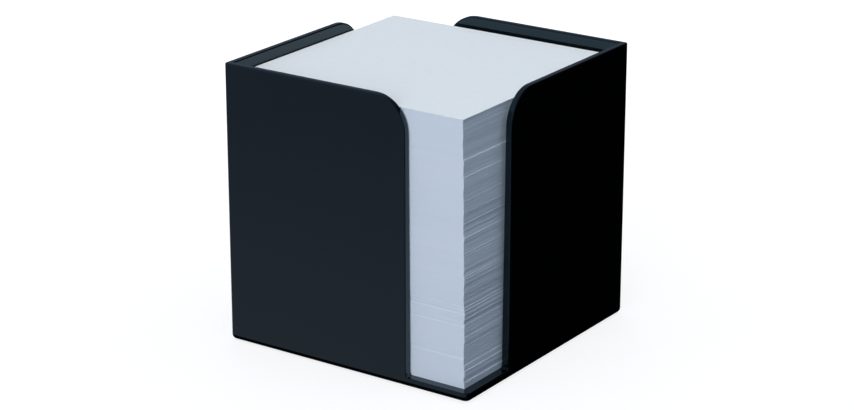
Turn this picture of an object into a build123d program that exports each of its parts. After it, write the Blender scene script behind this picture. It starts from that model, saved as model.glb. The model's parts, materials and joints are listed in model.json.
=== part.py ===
from build123d import *
import math
import os
from random import Random

# A desk box for loose note sheets: one moulding with a flat base and two L-shaped walls, open at
# two opposite corners so that a thumb and a finger can grip the stack, and the sheets that fill it.
# Millimetres. The origin is on the floor under the centre of the box. -Y is the front wall, +X the
# right-hand wall, and the open corners are at (+X, -Y) and (-X, +Y).

# The moulding: its walls are thinner at the rim, so that it leaves the mould
BOX_SIDE = 97.0
BOX_HEIGHT = 98.2
BASE_THICKNESS = 3.3
WALL_AT_RIM = 2.3
WALL_AT_FLOOR = 3.1
GAP_WIDTH = 24.4
TIP_RADIUS = 12.0
ROOT_RADIUS = 0.8
BOTTOM_RADIUS = 2.0
OPEN_CORNER_RADIUS = 2.6
CLOSED_CORNER_RADIUS = 1.0
EDGE_RADIUS = 0.5
INNER_EDGE_RADIUS = 0.5

# The paper: 80 g/m2 sheets, most of them in sheaves that settled together, the last ones single
SHEET_SIDE = 90.0
SHEET_THICKNESS = 0.1
SHEAVES = 45
SHEETS_PER_SHEAF = 20
SHEAF_SPREAD = 6
SINGLE_SHEETS = 10

# How the stack lies: a little towards the left and front walls, which hold it closest at its foot.
# It leans towards them, bulges to the right halfway up, and each sheaf has a small shift of its own.
STACK_PLACE = (-0.12, -0.20)
LEAN = (-0.55, -0.65)
BULGE = 0.15
SHEAF_SHIFT = (0.16, 0.06)
SHEET_SHIFT = (0.06, 0.04)
SETTLE_SEED = 11

HALF = BOX_SIDE / 2
WALL_END = HALF - GAP_WIDTH
CORNER_PLANE = Plane(origin=(0, 0, 0), z_dir=(1, 1, 0))
HALF_TURN = Rot(0, 0, 180)


def outer_block():
    """The block that the outside of the moulding lies on, rounded at its bottom and corners."""
    block = Pos(0, 0, BOX_HEIGHT / 2) * Box(BOX_SIDE, BOX_SIDE, BOX_HEIGHT)
    upright = block.edges().filter_by(Axis.Z)
    block = fillet([e for e in upright if e.center().X * e.center().Y < 0], OPEN_CORNER_RADIUS)
    block = fillet(block.faces().sort_by(Axis.Z)[0].edges(), BOTTOM_RADIUS)
    reach = HALF - BOTTOM_RADIUS
    closed = [e for e in block.edges() if min(e.center().X, e.center().Y) > reach]
    closed += [e for e in block.edges() if max(e.center().X, e.center().Y) < -reach]
    return fillet(closed, CLOSED_CORNER_RADIUS)


def front_wall():
    """The front wall, with its free upper corner swept round and its inner edges eased."""
    profile = Polygon(
        (-HALF, 0),
        (-HALF + WALL_AT_FLOOR, 0),
        (-HALF + WALL_AT_RIM, BOX_HEIGHT),
        (-HALF, BOX_HEIGHT),
        align=None,
    )
    wall = extrude(Plane.YZ.offset(-HALF) * profile, amount=WALL_END + HALF)
    tip = wall.edges().group_by(Axis.Z)[-1].sort_by(Axis.X)[-1]
    wall = fillet(tip, TIP_RADIUS)
    inner_face = wall.faces().sort_by(Axis.Y)[-1]
    closed_end = inner_face.edges().sort_by(Axis.X)[0]
    foot = inner_face.edges().sort_by(Axis.Z)[0]
    return fillet(inner_face.edges() - [closed_end, foot], INNER_EDGE_RADIUS)


def wall_root():
    """The small hollow curve in the angle between the front wall's free end and the base."""
    overlap = ROOT_RADIUS / 4
    size = ROOT_RADIUS + overlap
    block = Pos(WALL_END - overlap, BASE_THICKNESS - overlap) * Rectangle(size, size, align=Align.MIN)
    hollow = Pos(WALL_END + ROOT_RADIUS, BASE_THICKNESS + ROOT_RADIUS) * Circle(ROOT_RADIUS)
    return extrude(Plane.XZ.offset(HALF - WALL_AT_FLOOR) * (block - hollow), amount=WALL_AT_FLOOR)


def is_open_edge(edge):
    """Whether an edge lies outside on a rim, on a wall's free end or on the base in a gap."""
    middle = edge @ 0.5
    nearer, farther = sorted((abs(middle.X), abs(middle.Y)))
    outside = farther > HALF - OPEN_CORNER_RADIUS / 2
    upright_corner = edge.geom_type == GeomType.LINE and nearer > HALF - 2 * CLOSED_CORNER_RADIUS
    return outside and middle.Z > BASE_THICKNESS - EDGE_RADIUS / 2 and not upright_corner


def note_box():
    """The whole moulding: the base, two walls at each closed corner, and the eased outer edges."""
    arm = front_wall() + wall_root()
    pair = arm + mirror(arm, about=CORNER_PLANE)
    base = Pos(0, 0, BASE_THICKNESS / 2) * Box(BOX_SIDE, BOX_SIDE, BASE_THICKNESS)
    body = (base + pair + HALF_TURN * pair) & outer_block()
    return fillet([e for e in body.edges() if is_open_edge(e)], EDGE_RADIUS)


def sheaf_counts(rng):
    """How many sheets each sheaf holds: neighbours trade sheets, so the total stays the same."""
    counts = [SHEETS_PER_SHEAF] * SHEAVES
    for first in range(0, SHEAVES - 1, 2):
        traded = rng.randint(-SHEAF_SPREAD, SHEAF_SPREAD)
        counts[first] += traded
        counts[first + 1] -= traded
    return counts


def paper(bottom, thickness, shift):
    """A sheet or a sheaf that lies at a height, off centre by its shift in X and Y."""
    x, y = shift
    block = Box(SHEET_SIDE, SHEET_SIDE, thickness, align=(Align.CENTER, Align.CENTER, Align.MIN))
    return Pos(x, y, bottom) * block


def settled(rng, height, spread):
    """Where a sheaf or sheet came to lie: its shift in X and Y, at a height in the stack."""
    rise = height / BOX_HEIGHT
    x = STACK_PLACE[0] + LEAN[0] * rise + BULGE * math.sin(math.pi * rise)
    y = STACK_PLACE[1] + LEAN[1] * rise
    return x + rng.uniform(-spread[0], spread[0]), y + rng.uniform(-spread[1], spread[1])


def paper_stack():
    """Every sheaf and single sheet by name, from the base up."""
    rng = Random(SETTLE_SEED)
    pieces = {}
    height = BASE_THICKNESS
    for index, count in enumerate(sheaf_counts(rng)):
        thickness = count * SHEET_THICKNESS
        pieces[f"sheaf_{index + 1:02d}"] = paper(height, thickness, settled(rng, height, SHEAF_SHIFT))
        height += thickness
    for index in range(SINGLE_SHEETS):
        name = "top_sheet" if index == SINGLE_SHEETS - 1 else f"sheet_{index + 1:02d}"
        pieces[name] = paper(height, SHEET_THICKNESS, settled(rng, height, SHEET_SHIFT))
        height += SHEET_THICKNESS
    return pieces


def main():
    os.makedirs("parts", exist_ok=True)
    pieces = {"note_box": note_box(), **paper_stack()}
    for name, piece in pieces.items():
        export_step(piece, f"parts/{name}.step")
    print(f"{len(pieces)} pieces")


main()
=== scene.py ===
"""A desk box for loose note sheets: its moulding's finish, its sheets one by one, and the studio."""

import json
import logging
import math
from dataclasses import dataclass, field
from enum import Enum, IntEnum
from random import Random
from statistics import linear_regression
from typing import Any

import bmesh
import bpy
from mathutils import Matrix, Vector


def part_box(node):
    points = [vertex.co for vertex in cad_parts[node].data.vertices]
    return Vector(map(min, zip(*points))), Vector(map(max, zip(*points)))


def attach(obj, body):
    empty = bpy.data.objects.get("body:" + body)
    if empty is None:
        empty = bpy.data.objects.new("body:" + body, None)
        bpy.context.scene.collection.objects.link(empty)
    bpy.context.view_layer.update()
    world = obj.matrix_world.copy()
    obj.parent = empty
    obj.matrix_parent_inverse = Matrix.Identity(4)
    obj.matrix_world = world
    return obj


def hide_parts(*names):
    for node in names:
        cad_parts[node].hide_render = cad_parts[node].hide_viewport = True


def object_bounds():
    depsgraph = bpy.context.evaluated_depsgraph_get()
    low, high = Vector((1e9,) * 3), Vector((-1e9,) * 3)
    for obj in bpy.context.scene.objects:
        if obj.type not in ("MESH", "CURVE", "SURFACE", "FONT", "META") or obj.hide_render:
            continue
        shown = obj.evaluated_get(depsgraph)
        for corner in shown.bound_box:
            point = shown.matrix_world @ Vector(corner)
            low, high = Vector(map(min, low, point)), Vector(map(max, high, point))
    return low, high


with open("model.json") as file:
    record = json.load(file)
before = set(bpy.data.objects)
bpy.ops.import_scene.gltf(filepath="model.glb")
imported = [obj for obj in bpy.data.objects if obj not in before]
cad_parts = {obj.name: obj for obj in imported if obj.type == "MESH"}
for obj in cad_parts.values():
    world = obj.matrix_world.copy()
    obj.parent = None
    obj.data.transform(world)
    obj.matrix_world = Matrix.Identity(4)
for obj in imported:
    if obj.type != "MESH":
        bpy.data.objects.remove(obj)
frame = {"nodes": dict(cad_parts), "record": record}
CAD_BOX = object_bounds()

log = logging.getLogger("note_box")

MM = 0.001

# The image that the camera frames, in pixels, and the sensor that its focal length refers to
IMAGE_WIDTH = 854
SENSOR_WIDTH_MM = 36.0

# The Mix node's sockets for colours, which it names like those for its other types of data
MIX_FACTOR, MIX_START, MIX_END, MIX_RESULT = 0, 6, 7, 2

# Where nearly all the values of a noise lie
NOISE_LOW, NOISE_HIGH = 0.3, 0.7

WHITE = (1.0, 1.0, 1.0, 1.0)

Colour = tuple[float, float, float, float]
Place = tuple[float, float, float]


class PaperPart(IntEnum):
    """The kinds of surface that a sheet has, in the order of its material slots."""

    FACE = 0
    CLEAN_EDGE = 1
    RAGGED_EDGE = 2


class PaintedReflectionTone(Enum):
    """The glow of a card that only the gloss of the moulding mirrors, near the box and far off: a grey
    painted reflection, and black painted shade.
    """

    GREY_PAINTED_REFLECTION = ("#A9A5AC", "#8F909D")
    BLACK = ("#000000", "#000000")


def linear(hex_colour: str) -> Colour:
    """Turns an sRGB hex colour to the linear colour that Blender's sockets take.

    Args:
        hex_colour: The colour as "#RRGGBB".

    Returns:
        Red, green, blue and an alpha of 1.
    """
    channels = [int(hex_colour[i:i + 2], 16) / 255 for i in (1, 3, 5)]
    curve = [c / 12.92 if c <= 0.04045 else ((c + 0.055) / 1.055) ** 2.4 for c in channels]
    return (*curve, 1.0)


def add_node(
    tree: bpy.types.NodeTree, kind: str, inputs: dict[str | int, Any] | None = None, **settings: Any
) -> bpy.types.Node:
    """Adds a node with its settings, its socket values and its links.

    Args:
        tree: The node tree that gets the node.
        kind: Blender's name for the type, such as "ShaderNodeBump".
        inputs: For an input's name or number, a value, or the output socket that feeds it.
        settings: The node's own properties, such as operation="MULTIPLY".

    Returns:
        The new node.
    """
    node = tree.nodes.new(kind)
    for name, value in settings.items():
        setattr(node, name, value)
    for key, value in (inputs or {}).items():
        if isinstance(value, bpy.types.NodeSocket):
            tree.links.new(value, node.inputs[key])
        else:
            node.inputs[key].default_value = value
    return node


def new_material(name: str) -> tuple[bpy.types.Material, bpy.types.NodeTree]:
    """Makes an empty node material.

    Args:
        name: The material's name.

    Returns:
        The material and its node tree.
    """
    material = bpy.data.materials.new(name)
    material.use_nodes = True
    material.node_tree.nodes.clear()
    return material, material.node_tree


def per_metre(size_mm: float) -> float:
    """The scale of a texture in metre coordinates whose features are about size_mm across."""
    return 1.0 / (size_mm * MM)


@dataclass(frozen=True)
class MouldedPolystyrene:
    """Black general-purpose polystyrene, injection-moulded against a polished steel tool.

    To the eye it is nearly black in itself and takes its tone from what it mirrors, a little
    bluer than it is. The mirror image is a little soft, and it swims slightly where the melt
    shrank over the wide walls.
    """

    name: str = "polystyrene_black_injection_moulded"
    pigment: str = "#050607"
    ior: float = 1.59
    mirror_tint: str = "#BCE9FF"
    roughness: float = 0.12
    roughness_spread: float = 0.03
    haze_mm: float = 9.0
    sink_mm: float = 28.0
    sink_depth_mm: float = 0.006
    grain_mm: float = 0.7
    grain_depth_mm: float = 0.0008
    dust: str = "#2A3A40"
    dust_cell_mm: float = 5.0
    dust_radius_mm: float = 0.15
    dust_share: float = 0.25

    def make(self) -> bpy.types.Material:
        """Builds the node material.

        Returns:
            The material, ready to be put in a slot.
        """
        material, tree = new_material(self.name)
        place = add_node(tree, "ShaderNodeTexCoord").outputs["Object"]
        haze = add_node(tree, "ShaderNodeTexNoise", {
            "Vector": place, "Scale": per_metre(self.haze_mm), "Detail": 3.0})
        gloss = add_node(tree, "ShaderNodeMapRange", {
            "Value": haze.outputs["Fac"], "From Min": NOISE_LOW, "From Max": NOISE_HIGH,
            "To Min": self.roughness - self.roughness_spread,
            "To Max": self.roughness + self.roughness_spread})
        sink = add_node(tree, "ShaderNodeTexNoise", {
            "Vector": place, "Scale": per_metre(self.sink_mm), "Detail": 1.0})
        grain = add_node(tree, "ShaderNodeTexNoise", {
            "Vector": place, "Scale": per_metre(self.grain_mm), "Detail": 2.0})
        swim = add_node(tree, "ShaderNodeBump", {
            "Height": sink.outputs["Fac"], "Strength": 1.0, "Distance": self.sink_depth_mm * MM})
        relief = add_node(tree, "ShaderNodeBump", {
            "Height": grain.outputs["Fac"], "Strength": 1.0, "Distance": self.grain_depth_mm * MM,
            "Normal": swim.outputs["Normal"]})
        cells = add_node(tree, "ShaderNodeTexVoronoi", {
            "Vector": place, "Scale": per_metre(self.dust_cell_mm)})
        near = add_node(tree, "ShaderNodeMath", {
            0: cells.outputs["Distance"], 1: self.dust_radius_mm / self.dust_cell_mm},
            operation="LESS_THAN")
        pick = add_node(tree, "ShaderNodeSeparateColor", {0: cells.outputs["Color"]})
        some = add_node(tree, "ShaderNodeMath", {
            0: pick.outputs[0], 1: self.dust_share}, operation="LESS_THAN")
        speck = add_node(tree, "ShaderNodeMath", {
            0: near.outputs[0], 1: some.outputs[0]}, operation="MULTIPLY")
        tint = add_node(tree, "ShaderNodeMix", {
            MIX_FACTOR: speck.outputs[0],
            MIX_START: linear(self.pigment), MIX_END: linear(self.dust)},
            data_type="RGBA")
        shader = add_node(tree, "ShaderNodeBsdfPrincipled", {
            "Base Color": tint.outputs[MIX_RESULT], "Roughness": gloss.outputs[0], "IOR": self.ior,
            "Specular Tint": linear(self.mirror_tint), "Normal": relief.outputs["Normal"]})
        add_node(tree, "ShaderNodeOutputMaterial", {"Surface": shader.outputs[0]})
        return material


@dataclass(frozen=True)
class UncoatedPaper:
    """Bleached woodfree writing paper, 80 g/m2, uncoated and calendered.

    To the eye it is a flat matt white with a blue cast from its brightener. Seen near, its fibres
    lie in a faint cloudy formation. The fibres are drawn about three times coarser than real
    ones, which would be too fine to show.
    """

    name: str = "woodfree_paper_uncoated"
    white: str = "#F0F2F5"
    cloud: str = "#E9ECF0"
    roughness: float = 0.85
    specular: float = 0.2
    formation_mm: float = 2.4
    fibre_mm: float = 0.35
    fibre_depth_mm: float = 0.006

    def make(self) -> bpy.types.Material:
        """Builds the node material.

        Returns:
            The material, ready to be put in a slot.
        """
        material, tree = new_material(self.name)
        place = add_node(tree, "ShaderNodeTexCoord").outputs["Object"]
        formation = add_node(tree, "ShaderNodeTexNoise", {
            "Vector": place, "Scale": per_metre(self.formation_mm), "Detail": 4.0, "Roughness": 0.6})
        tint = add_node(tree, "ShaderNodeMix", {
            MIX_FACTOR: formation.outputs["Fac"],
            MIX_START: linear(self.cloud), MIX_END: linear(self.white)},
            data_type="RGBA")
        fibres = add_node(tree, "ShaderNodeTexNoise", {
            "Vector": place, "Scale": per_metre(self.fibre_mm), "Detail": 3.0, "Roughness": 0.7})
        relief = add_node(tree, "ShaderNodeBump", {
            "Height": fibres.outputs["Fac"], "Strength": 1.0, "Distance": self.fibre_depth_mm * MM})
        shader = add_node(tree, "ShaderNodeBsdfPrincipled", {
            "Base Color": tint.outputs[MIX_RESULT], "Roughness": self.roughness,
            "Specular IOR Level": self.specular, "Normal": relief.outputs["Normal"]})
        add_node(tree, "ShaderNodeOutputMaterial", {"Surface": shader.outputs[0]})
        return material


@dataclass(frozen=True)
class GuillotinedPaperEdge:
    """Sides of the sheets, all cut through at once by a guillotine.

    To the eye it is a matt white, streaked along the sheets where they lie a little proud or
    sunk. The streaks are painted highlight and painted shade in its colour, lighter where a
    streak rises and darker where it falls, with a bump from the same streaks. Sheets are 0.1 mm
    thick. The streaks are drawn three to twenty sheets wide, because single sheets are too fine
    to show.
    """

    name: str
    relief_depth_mm: float
    # light and dark: the edge's colour at high and low streak height, painted highlight and painted
    # shade.
    light: str
    dark: str
    roughness: float = 0.9
    specular: float = 0.1
    streak_mm: float = 0.3
    bundle_mm: float = 1.6
    calm_mm: float = 22.0
    calm_span: tuple[float, float] = (0.35, 0.6)
    calm_share: float = 0.25
    painted_shade_and_highlight_span: tuple[float, float] = (0.05, 0.3)
    streak_run_mm: float = 1200.0

    def streaks(
        self, tree: bpy.types.NodeTree, place: bpy.types.NodeSocket, size_mm: float
    ) -> bpy.types.NodeSocket:
        """Adds a noise that is stretched along the sheets.

        Args:
            tree: The node tree that gets the nodes.
            place: The coordinates, in metres.
            size_mm: How wide a streak is, from its lower to its upper side.

        Returns:
            The noise, from 0 to 1.
        """
        run = per_metre(self.streak_run_mm)
        stretched = add_node(tree, "ShaderNodeVectorMath", {
            0: place, 1: (run, run, per_metre(size_mm))}, operation="MULTIPLY")
        noise = add_node(tree, "ShaderNodeTexNoise", {
            "Vector": stretched.outputs[0], "Scale": 1.0, "Detail": 1.0, "Roughness": 0.5})
        return noise.outputs["Fac"]

    def make(self) -> bpy.types.Material:
        """Builds the node material.

        Returns:
            The material, ready to be put in a slot.
        """
        material, tree = new_material(self.name)
        place = add_node(tree, "ShaderNodeTexCoord").outputs["Object"]
        fine = self.streaks(tree, place, self.streak_mm)
        broad = self.streaks(tree, place, self.bundle_mm)
        both = add_node(tree, "ShaderNodeMath", {0: fine, 1: broad}, operation="MULTIPLY")
        calm = add_node(tree, "ShaderNodeMapRange", {
            "Value": self.streaks(tree, place, self.calm_mm),
            "From Min": self.calm_span[0], "From Max": self.calm_span[1],
            "To Min": self.calm_share, "To Max": 1.0})
        height = add_node(tree, "ShaderNodeMath", {
            0: both.outputs[0], 1: calm.outputs[0]}, operation="MULTIPLY")
        # Painted highlight and painted shade: a high streak takes the light tone, a low one the dark
        # tone.
        painted_shade_and_highlight = add_node(tree, "ShaderNodeMapRange", {
            "Value": height.outputs[0],
            "From Min": self.painted_shade_and_highlight_span[0], "From Max": self.painted_shade_and_highlight_span[1]})
        tint = add_node(tree, "ShaderNodeMix", {
            MIX_FACTOR: painted_shade_and_highlight.outputs[0],
            MIX_START: linear(self.dark), MIX_END: linear(self.light)},
            data_type="RGBA")
        relief = add_node(tree, "ShaderNodeBump", {
            "Height": height.outputs[0], "Strength": 1.0, "Distance": self.relief_depth_mm * MM})
        shader = add_node(tree, "ShaderNodeBsdfPrincipled", {
            "Base Color": tint.outputs[MIX_RESULT], "Roughness": self.roughness,
            "Specular IOR Level": self.specular, "Normal": relief.outputs["Normal"]})
        add_node(tree, "ShaderNodeOutputMaterial", {"Surface": shader.outputs[0]})
        return material


@dataclass(frozen=True)
class Moulding:
    """The box itself: base and walls in one piece."""

    node: str = "note_box"
    slot: str = "moulded_black"
    finish: MouldedPolystyrene = MouldedPolystyrene()

    def build(self) -> bpy.types.Object:
        """Dresses the moulding, whose shape comes with the frame.

        Returns:
            The moulding's object.
        """
        box = frame["nodes"][self.node]
        box.data.materials.clear()
        box.data.materials.append(self.finish.make())
        return box


@dataclass(frozen=True)
class Sheet:
    """One note sheet as it lies in the stack, in millimetres and radians."""

    side: float
    bottom: float
    thickness: float
    x: float
    y: float
    turn: float

    def add_to(self, mesh: bmesh.types.BMesh) -> None:
        """Adds the sheet's thin slab to a mesh.

        Args:
            mesh: The mesh that gets it, in metres.
        """
        half = self.side / 2
        spin = Matrix.Rotation(self.turn, 2)
        rings = []
        for height in (self.bottom, self.bottom + self.thickness):
            ring = []
            for corner in ((-half, -half), (half, -half), (half, half), (-half, half)):
                x, y = spin @ Vector(corner) + Vector((self.x, self.y))
                ring.append(mesh.verts.new((x * MM, y * MM, height * MM)))
            rings.append(ring)
        low, high = rings
        mesh.faces.new(low[::-1]).material_index = PaperPart.FACE
        mesh.faces.new(high).material_index = PaperPart.FACE
        for i in range(4):
            j = (i + 1) % 4
            edge = mesh.faces.new((low[i], low[j], high[j], high[i]))
            edge.material_index = PaperPart.RAGGED_EDGE if i % 2 else PaperPart.CLEAN_EDGE


@dataclass
class PaperStack:
    """All the note sheets, from the base of the box up, each modelled on its own.

    The front and back edges were knocked level, so they follow one straight line up the stack
    and show only a few packets of sheets that sank in at two heights. The side edges are
    uneven, most of all in the lower half.

    Sizes are in millimetres and the turn is in radians. A sheet is a little thinner than its
    pitch, so that a dark line of air shows between sheets. Jitter and stray are how far a sheet
    may shift in X and in Y. The stray shares and the packets' reach are each for the calm and
    for the loose part of the stack. The two level values are found from the frame.
    """

    side: float = 90.0
    pitch: float = 0.1
    thickness: float = 0.096
    slot: str = "note_paper"
    jitter: tuple[float, float] = (0.02, 0.005)
    stray: tuple[float, float] = (0.16, 0.012)
    stray_shares: tuple[float, float] = (0.008, 0.10)
    packet_sheets: tuple[int, int] = (2, 5)
    packet_reach: tuple[float, float] = (0.02, 0.09)
    room_at_left: float = 0.14
    loose_zone: tuple[float, float] = (14.0, 64.0)
    sunk_zones: tuple[tuple[float, float], ...] = ((13.5, 16.0), (24.5, 32.0))
    sunk_share: float = 0.4
    sunk_depth: float = 0.15
    turn: float = 0.00006
    seed: int = 90
    face: UncoatedPaper = UncoatedPaper()
    # Both edges paint highlight and shade into their colour along the streaks, the uneven sides far
    # more strongly than the clean ones.
    clean_edge: GuillotinedPaperEdge = GuillotinedPaperEdge(
        "woodfree_paper_edge_clean_cut", relief_depth_mm=0.0007, light="#E9ECF0", dark="#E4E8ED")
    ragged_edge: GuillotinedPaperEdge = GuillotinedPaperEdge(
        "woodfree_paper_edge_uneven_painted_shade_and_highlight", relief_depth_mm=0.008, light="#EBF5FB", dark="#D1DDE6")
    materials: list[bpy.types.Material] = field(default_factory=list)
    level_at_floor: float = 0.0
    level_slope: float = 0.0

    def find_level(self, nodes: list[str]) -> None:
        """Finds the straight line, in Y over height, that the level edges keep to.

        It is the line that lies closest to the middles of the nodes' boxes.

        Args:
            nodes: The names of every sheaf and single sheet in the frame.
        """
        boxes = [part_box(node) for node in nodes]
        bottoms = [low.z / MM for low, _ in boxes]
        middles = [(low.y + high.y) / 2 / MM for low, high in boxes]
        self.level_slope, self.level_at_floor = linear_regression(bottoms, middles)
        log.info("level edges: %.3f mm at the floor, %.5f for each mm of height",
                 self.level_at_floor, self.level_slope)

    def sheets_of(self, node: str, rng: Random) -> list[Sheet]:
        """Lays out the sheets that one node stands for.

        Args:
            node: The node's name in the frame.
            rng: Where the small shifts come from.

        Returns:
            The sheets, from the lowest up.
        """
        low, high = (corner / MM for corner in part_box(node))
        centre = (low + high) / 2
        count = round((high.z - low.z) / self.pitch)
        loose_from, loose_to = self.loose_zone
        sheets = []
        left_in_packet = 0
        packet_x = packet_y = 0.0
        for index in range(count):
            bottom = low.z + index * self.pitch
            loose = loose_from < bottom < loose_to
            if left_in_packet == 0:
                left_in_packet = rng.randint(*self.packet_sheets)
                packet_x = rng.uniform(-1.0, 1.0) * self.packet_reach[loose]
                may_sink = any(start < bottom < end for start, end in self.sunk_zones)
                packet_y = self.sunk_depth if may_sink and rng.random() < self.sunk_share else 0.0
            left_in_packet -= 1
            stray = rng.random() < self.stray_shares[loose]
            reach_x, reach_y = self.stray if stray else self.jitter
            shift = max(packet_x + rng.uniform(-reach_x, reach_x), -self.room_at_left)
            level = self.level_at_floor + self.level_slope * bottom
            sheets.append(Sheet(
                side=self.side,
                bottom=bottom,
                thickness=self.thickness,
                x=centre.x + shift,
                y=level + packet_y + rng.uniform(-reach_y, reach_y),
                turn=rng.uniform(-self.turn, self.turn),
            ))
        return sheets

    def build_node(self, node: str, body: str, rng: Random) -> bpy.types.Object:
        """Makes the piece that stands for one node of the frame.

        Args:
            node: The node's name in the frame.
            body: The body that the node moves with.
            rng: Where the small shifts come from.

        Returns:
            The new piece.
        """
        mesh = bmesh.new()
        sheets = self.sheets_of(node, rng)
        for sheet in sheets:
            sheet.add_to(mesh)
        data = bpy.data.meshes.new(f"{node}_sheets")
        mesh.to_mesh(data)
        mesh.free()
        for material in self.materials:
            data.materials.append(material)
        piece = bpy.data.objects.new(f"{node}_paper", data)
        bpy.context.scene.collection.objects.link(piece)
        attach(piece, body)
        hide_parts(node)
        log.info("%s: %d sheets on %s", piece.name, len(sheets), body)
        return piece

    def build(self) -> list[bpy.types.Object]:
        """Makes every sheaf and single sheet.

        Returns:
            The pieces, from the base up.
        """
        self.materials = [self.face.make(), self.clean_edge.make(), self.ragged_edge.make()]
        riders = [
            (node, body)
            for body, nodes in frame["record"]["behaviour"]["bodies"].items()
            for node in nodes
            if node != Moulding.node
        ]
        self.find_level([node for node, _ in riders])
        rng = Random(self.seed)
        return [self.build_node(node, body, rng) for node, body in riders]


@dataclass(frozen=True)
class Softbox:
    """A rectangular studio light behind diffusion, which shines at the middle of the box.

    The gloss mirrors the tent in front of it, a glowing painted reflection, not the lamp.
    """

    name: str
    place: Place
    width: float
    height: float
    watts: float
    colour: str

    def build(self, aim: Vector) -> bpy.types.Object:
        """Hangs the light and turns it towards the object.

        Args:
            aim: The point that it faces, in metres.

        Returns:
            The light's object.
        """
        lamp = bpy.data.lights.new(self.name, "AREA")
        lamp.shape = "RECTANGLE"
        lamp.size, lamp.size_y = self.width, self.height
        lamp.energy = self.watts
        lamp.color = linear(self.colour)[:3]
        light = bpy.data.objects.new(self.name, lamp)
        # Hidden from the gloss, which shows the tent's painted reflection instead.
        light.visible_glossy = False
        light.location = self.place
        light.rotation_euler = (aim - Vector(self.place)).to_track_quat("-Z", "Y").to_euler()
        bpy.context.scene.collection.objects.link(light)
        return light


@dataclass(frozen=True)
class ViewCamera:
    """A plain camera in front of the open corner, a little above the box."""

    place_mm: Place = (460.63, -668.78, 328.69)
    azimuth: float = 34.604
    tilt: float = 19.304
    focal_pixels: float = 2527.1

    def build(self) -> bpy.types.Object:
        """Makes the camera and gives it to the scene.

        Returns:
            The camera's object.
        """
        data = bpy.data.cameras.new("view")
        data.sensor_fit = "HORIZONTAL"
        data.sensor_width = SENSOR_WIDTH_MM
        data.lens = self.focal_pixels * SENSOR_WIDTH_MM / IMAGE_WIDTH
        camera = bpy.data.objects.new("view", data)
        camera.location = Vector(self.place_mm) * MM
        camera.rotation_euler = (math.radians(90 - self.tilt), 0, math.radians(self.azimuth))
        bpy.context.scene.collection.objects.link(camera)
        bpy.context.scene.camera = camera
        return camera


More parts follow.
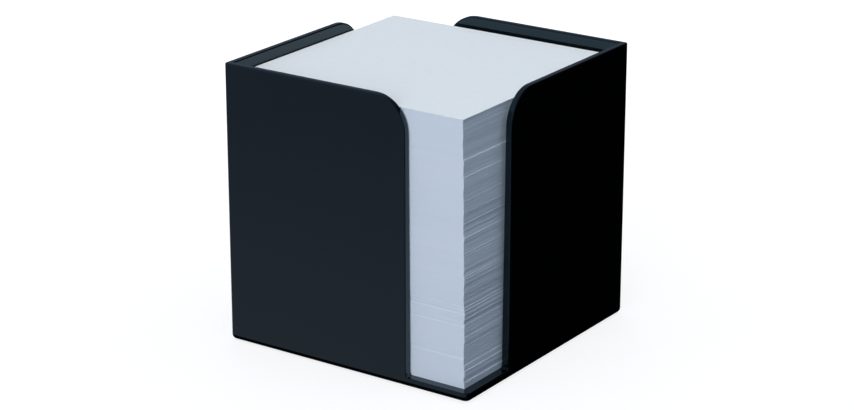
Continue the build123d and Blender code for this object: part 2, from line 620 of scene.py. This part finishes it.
@dataclass
class Studio:
    """The pale floor and backdrop, the lights, and the glowing cards and tent that only the gloss
    mirrors: painted reflections and painted shade.
    """

    floor_half: float = 3.0
    floor_colour: str = "#8E9093"
    floor_lift: tuple[float, float] = (0.80, 1.0)
    floor_fade: tuple[float, float] = (0.10, 0.35)
    ambient: str = "#7EB3FF"
    ambient_strength: float = 0.10
    # The cards lie on the floor and glow only for mirrored rays: a grey painted reflection at the front
    # left, black painted shade at the back right, and a black border of painted contact shade close
    # round the box. The grey runs from lighter near the box to darker far off.
    card_reach: float = 2.5
    card_border_painted_shade: float = 0.002
    card_height: float = 0.0003
    card_fade: tuple[float, float] = (0.06, 0.33)
    # The tent glows only for mirrored rays, a painted reflection in the gloss.
    tent_radius: float = 2.4
    tent_painted_reflection_tone: str = "#CDE2FF"
    tent_painted_reflection_glow: tuple[float, float] = (0.0, 0.6)
    lights: tuple[Softbox, ...] = (
        Softbox("key_front", (0.30, -1.62, 0.50), 1.0, 0.8, 18.1, "#E6F1FF"),
        Softbox("overhead", (0.0, 0.0, 1.1), 1.0, 1.0, 8.55, "#FCFFF9"),
        Softbox("fill_back", (-1.2, 1.5, 0.9), 0.8, 0.8, 5.0, "#E3F0FF"),
    )

    def shown_rays(self, tree: bpy.types.NodeTree) -> bpy.types.NodeSocket:
        """Adds a mask of the rays that look at the background: straight, mirrored and refracted."""
        rays = add_node(tree, "ShaderNodeLightPath").outputs
        two = add_node(tree, "ShaderNodeMath", {
            0: rays["Is Camera Ray"], 1: rays["Is Glossy Ray"]}, operation="MAXIMUM")
        three = add_node(tree, "ShaderNodeMath", {
            0: two.outputs[0], 1: rays["Is Transmission Ray"]}, operation="MAXIMUM")
        return three.outputs[0]

    def build_world(self) -> None:
        """Makes a white backdrop that lights the object with a weaker, cooler ambient light."""
        world = bpy.data.worlds.new("studio")
        bpy.context.scene.world = world
        world.use_nodes = True
        tree = world.node_tree
        tree.nodes.clear()
        ambient = add_node(tree, "ShaderNodeBackground", {
            "Color": linear(self.ambient), "Strength": self.ambient_strength})
        white = add_node(tree, "ShaderNodeBackground", {
            "Color": WHITE, "Strength": 1.0})
        seen = add_node(tree, "ShaderNodeMixShader", {
            0: self.shown_rays(tree), 1: ambient.outputs[0], 2: white.outputs[0]})
        add_node(tree, "ShaderNodeOutputWorld", {"Surface": seen.outputs[0]})

    def floor_finish(self) -> bpy.types.Material:
        """Makes the pale floor's material, which keeps the object's shadow and fades to white.

        Returns:
            The material.
        """
        material, tree = new_material("floor_pale_matt")
        paint = add_node(tree, "ShaderNodeBsdfDiffuse", {"Color": linear(self.floor_colour)})
        place = add_node(tree, "ShaderNodeTexCoord").outputs["Object"]
        distance = add_node(tree, "ShaderNodeVectorMath", {0: place}, operation="LENGTH")
        fade = add_node(tree, "ShaderNodeMapRange", {
            "Value": distance.outputs["Value"],
            "From Min": self.floor_fade[0], "From Max": self.floor_fade[1],
            "To Min": self.floor_lift[0], "To Max": self.floor_lift[1]})
        lift = add_node(tree, "ShaderNodeMath", {
            0: self.shown_rays(tree), 1: fade.outputs[0]}, operation="MULTIPLY")
        glow = add_node(tree, "ShaderNodeEmission", {
            "Color": WHITE, "Strength": lift.outputs[0]})
        both = add_node(tree, "ShaderNodeAddShader", {0: paint.outputs[0], 1: glow.outputs[0]})
        add_node(tree, "ShaderNodeOutputMaterial", {"Surface": both.outputs[0]})
        return material

    def glow_finish(
        self, name: str, measure: str, inputs: dict[int, Place], colours: tuple[str, str],
        span: tuple[float, float], strengths: tuple[float, float]
    ) -> bpy.types.Material:
        """Makes a glowing finish that fades with a measure of the place on its surface.

        Args:
            name: The material's name.
            measure: The vector operation that turns the place into a number.
            inputs: The operation's other inputs.
            colours: The colours where the fade starts and ends.
            span: The numbers where the fade starts and ends.
            strengths: How strongly it glows where the fade starts and ends.

        Returns:
            The material.
        """
        material, tree = new_material(name)
        place = add_node(tree, "ShaderNodeTexCoord").outputs["Object"]
        number = add_node(tree, "ShaderNodeVectorMath", {0: place, **inputs}, operation=measure)
        output = number.outputs["Value"]
        fade = add_node(tree, "ShaderNodeMapRange", {
            "Value": output, "From Min": span[0], "From Max": span[1]})
        colour = add_node(tree, "ShaderNodeMix", {
            MIX_FACTOR: fade.outputs[0],
            MIX_START: linear(colours[0]), MIX_END: linear(colours[1])},
            data_type="RGBA")
        strength = add_node(tree, "ShaderNodeMapRange", {
            "Value": output, "From Min": span[0], "From Max": span[1],
            "To Min": strengths[0], "To Max": strengths[1]})
        glow = add_node(tree, "ShaderNodeEmission", {
            "Color": colour.outputs[MIX_RESULT], "Strength": strength.outputs[0]})
        add_node(tree, "ShaderNodeOutputMaterial", {"Surface": glow.outputs[0]})
        return material

    def only_mirrored(self, piece: bpy.types.Object) -> None:
        """Hides a stage piece from all but mirrored rays."""
        piece.visible_camera = False
        piece.visible_diffuse = False
        piece.visible_transmission = False
        piece.visible_volume_scatter = False
        piece.visible_shadow = False

    def sheet_on_floor(
        self, name: str, outline: list[tuple[float, float]], height: float, material: bpy.types.Material
    ) -> bpy.types.Object:
        """Lays a flat stage piece.

        Args:
            name: The piece's name.
            outline: Its corners seen from above, anticlockwise, in metres.
            height: How high it lies.
            material: Its material.

        Returns:
            The stage piece.
        """
        mesh = bmesh.new()
        mesh.faces.new([mesh.verts.new((x, y, height)) for x, y in outline])
        data = bpy.data.meshes.new(name)
        mesh.to_mesh(data)
        mesh.free()
        data.materials.append(material)
        piece = bpy.data.objects.new(name, data)
        bpy.context.scene.collection.objects.link(piece)
        return piece

    def build_cards(self) -> None:
        """Lays the glowing cards that only the gloss mirrors, painted reflections: grey for the front
        and left walls, black painted shade for the right and back walls, and a black border close
        round the box, painted contact shade."""
        low, high = CAD_BOX
        reach, height = self.card_reach, self.card_height
        side = high.x + self.card_border_painted_shade
        # Glowing cards seen only in the gloss: the grey one is a painted reflection, the black ones are
        # painted shade.
        painted_reflection_grey, painted_shade_black = (
            self.glow_finish(
                f"card_{tone.name.lower()}", "LENGTH", {}, tone.value, self.card_fade, (1.0, 1.0))
            for tone in PaintedReflectionTone)
        cards = (
            ("card_front_left_painted_reflection", [(-reach, reach), (-reach, -reach), (reach, -reach)], height, painted_reflection_grey),
            ("card_back_right_painted_shade", [(reach, -reach), (reach, reach), (-reach, reach)], height, painted_shade_black),
            # The black border close round the box is painted contact shade in the gloss.
            ("card_border_painted_shade", [(-side, -side), (side, -side), (side, side), (-side, side)],
             2 * height, painted_shade_black),
        )
        for name, outline, lies_at, material in cards:
            self.only_mirrored(self.sheet_on_floor(name, outline, lies_at, material))

    def build_tent(self) -> None:
        """Puts up the glowing tent that only the gloss mirrors, a painted reflection: dim slate at
        the front left, and fading to black at the back right."""
        mesh = bmesh.new()
        bmesh.ops.create_icosphere(mesh, subdivisions=4, radius=self.tent_radius)
        data = bpy.data.meshes.new("tent")
        mesh.to_mesh(data)
        mesh.free()
        front_left = (-math.sqrt(0.5), -math.sqrt(0.5), 0.0)
        # The tent's glow is a painted reflection, strongest towards the front left and black towards
        # the back right.
        data.materials.append(self.glow_finish(
            "tent_painted_reflection", "DOT_PRODUCT", {1: front_left}, (self.tent_painted_reflection_tone, self.tent_painted_reflection_tone),
            (-self.tent_radius, self.tent_radius), self.tent_painted_reflection_glow))
        tent = bpy.data.objects.new("tent", data)
        bpy.context.scene.collection.objects.link(tent)
        self.only_mirrored(tent)

    def build(self) -> None:
        """Sets up floor, backdrop, the glowing cards and tent of painted reflection and shade, lights
        and view transform.
        """
        low, high = CAD_BOX
        reach = self.floor_half
        outline = [(-reach, -reach), (reach, -reach), (reach, reach), (-reach, reach)]
        self.sheet_on_floor("floor", outline, 0.0, self.floor_finish())
        self.build_world()
        self.build_cards()
        self.build_tent()
        for light in self.lights:
            light.build((low + high) / 2)
        bpy.context.scene.view_settings.view_transform = "Standard"


def main() -> None:
    """Builds the studio, dresses the moulding and lays the sheets."""
    logging.basicConfig(level=logging.INFO, format="%(name)s: %(message)s")
    ViewCamera().build()
    Studio().build()
    box = Moulding().build()
    log.info("%s: %d faces", box.name, len(box.data.polygons))
    pieces = PaperStack().build()
    log.info("%d paper pieces", len(pieces))


if __name__ == "__main__":
    main()
